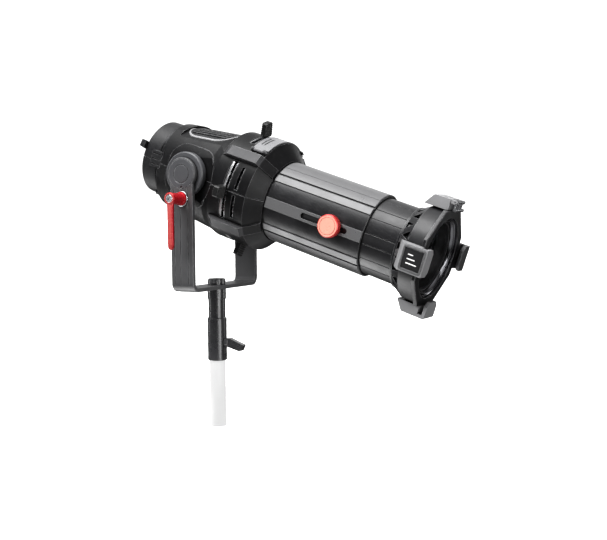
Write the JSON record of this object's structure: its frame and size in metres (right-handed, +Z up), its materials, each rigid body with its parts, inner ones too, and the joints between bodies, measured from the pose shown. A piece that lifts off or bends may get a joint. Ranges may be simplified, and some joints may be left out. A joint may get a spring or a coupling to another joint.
{
  "type": "ellipsoidal spotlight",
  "caption": "Ellipsoidal spotlight with framing shutters, gobo bay, sliding focus barrel and colour frame holder, on a U-shaped yoke with a stand receiver.",
  "frame": {"origin": "centre of the stand receiver's mouth, at the bottom of the part", "axes": "+Z up along the stand's stud, +X the heading of the beam, -Y the side of the tilt lever; stored with the nose 18.5 degrees down"},
  "size_m": [0.5241, 0.2285, 0.3764],
  "materials": {
    "stand_black": "satin",
    "yoke_black": "satin",
    "steel": "satin",
    "bronze": "matte",
    "nylon": "matte",
    "disc_grey": "satin",
    "lever_red": "satin",
    "housing_black": "matte",
    "drum_black": "satin",
    "flange_metal": "satin",
    "grille_black": "matte",
    "barrel_black": "satin",
    "ring_black": "satin",
    "inner_black": "matte",
    "grip_black": "matte",
    "knob_red": "satin",
    "optical_glass": "polished",
    "plate_black": "satin"
  },
  "bodies": {
    "yoke": {"stand_receiver": "stand_black", "receiver_collar": "stand_black", "yoke_bracket": "yoke_black", "yoke_bolt": "steel", "yoke_cap_nut": "stand_black", "pivot_bushes": "bronze", "friction_discs": "nylon", "pivot_caps": "disc_grey", "tilt_washer": "steel", "tilt_brake_shoe": "inner_black"},
    "tilt_clamp": {"tilt_lever": "lever_red", "tilt_screw": "steel"},
    "stand_clamp": {"stand_clamp_screw": "steel", "stand_clamp_lever": "stand_black"},
    "head": {"pivot_rings": "disc_grey", "pivot_bolts": "steel", "upper_housing": "housing_black", "lower_housing": "housing_black", "housing_screws": "steel", "vent_grille": "grille_black", "rear_drum_upper": "drum_black", "rear_drum_lower": "drum_black", "rear_flange_ring": "flange_metal", "bayonet_plate": "grille_black", "mount_lock_spring": "steel", "condenser_cell": "inner_black", "condenser_lens_rear": "optical_glass", "condenser_lens_front": "optical_glass", "condenser_rings": "inner_black", "gate_plate": "steel", "shutter_guides": "steel", "gobo_guide": "inner_black", "cover_hinge_pin": "steel", "outer_barrel": "barrel_black", "barrel_flange": "inner_black"},
    "mount_lock": {"mount_lock_button": "grille_black"},
    "gobo_cover": {"gobo_cover": "housing_black"},
    "shutter_top": {"shutter_blade_top": "steel", "shutter_grip_top": "grip_black"},
    "shutter_bottom": {"shutter_blade_bottom": "steel", "shutter_grip_bottom": "grip_black"},
    "shutter_near": {"shutter_blade_near": "steel", "shutter_grip_near": "grip_black"},
    "shutter_far": {"shutter_blade_far": "steel", "shutter_grip_far": "grip_black"},
    "lens_slide": {"inner_barrel": "barrel_black", "focus_stud": "steel", "projection_lens_rear": "optical_glass", "projection_lens_front": "optical_glass", "lens_rings": "inner_black", "front_ring": "ring_black", "front_plate": "ring_black", "bracket_top": "ring_black", "bracket_near": "ring_black", "bracket_bottom": "ring_black", "bracket_far": "ring_black", "label_plate": "plate_black", "latch_pin": "steel"},
    "focus_knob": {"focus_knob": "knob_red"},
    "frame_latch": {"frame_latch": "steel"}
  },
  "joints": [
    {"name": "head_tilt", "type": "hinge", "parent": "yoke", "child": "head", "pos_m": [0, 0, 0.29], "axis": [0, 1, 0], "range_deg": [-100, 30]},
    {"name": "tilt_lever_turn", "type": "hinge", "parent": "yoke", "child": "tilt_clamp", "pos_m": [0, -0.1, 0.253], "axis": [0, 1, 0], "range_deg": [-30, 60]},
    {"name": "stand_clamp_turn", "type": "hinge", "parent": "yoke", "child": "stand_clamp", "pos_m": [0.02, 0, 0.0287], "axis": [1, 0, 0], "range_deg": [-120, 120]},
    {"name": "mount_lock_press", "type": "slide", "parent": "head", "child": "mount_lock", "axis": [0, 1, 0], "range_m": [0, 0.002], "stiffness_N_per_m": 600, "springref_m": -0.001, "deforming": ["mount_lock_spring"]},
    {"name": "gobo_cover_hinge", "type": "hinge", "parent": "head", "child": "gobo_cover", "pos_m": [0.11396, -0.0556, 0.32174], "axis": [0.9483, 0, -0.3173], "range_deg": [0, 100]},
    {"name": "shutter_top_slide", "type": "slide", "parent": "head", "child": "shutter_top", "axis": [0.3034, -0.2924, 0.9069], "range_m": [0, 0.04]},
    {"name": "shutter_bottom_slide", "type": "slide", "parent": "head", "child": "shutter_bottom", "axis": [-0.3079, -0.2419, -0.9202], "range_m": [0, 0.04]},
    {"name": "shutter_near_slide", "type": "slide", "parent": "head", "child": "shutter_near", "axis": [0, -1, 0], "range_m": [0, 0.04]},
    {"name": "shutter_far_slide", "type": "slide", "parent": "head", "child": "shutter_far", "axis": [0, 1, 0], "range_m": [0, 0.04]},
    {"name": "lens_focus", "type": "slide", "parent": "head", "child": "lens_slide", "axis": [0.9483, 0, -0.3173], "range_m": [-0.046, 0.022]},
    {"name": "focus_knob_turn", "type": "hinge", "parent": "lens_slide", "child": "focus_knob", "pos_m": [0.23186, -0.066, 0.21242], "axis": [0, -1, 0], "range_deg": [-180, 180]},
    {"name": "frame_latch_hinge", "type": "hinge", "parent": "lens_slide", "child": "frame_latch", "pos_m": [0.39887, 0, 0.24354], "axis": [0, -1, 0], "range_deg": [0, 100], "stiffness_Nm_per_rad": 0.03, "springref_deg": -17.19}
  ]
}
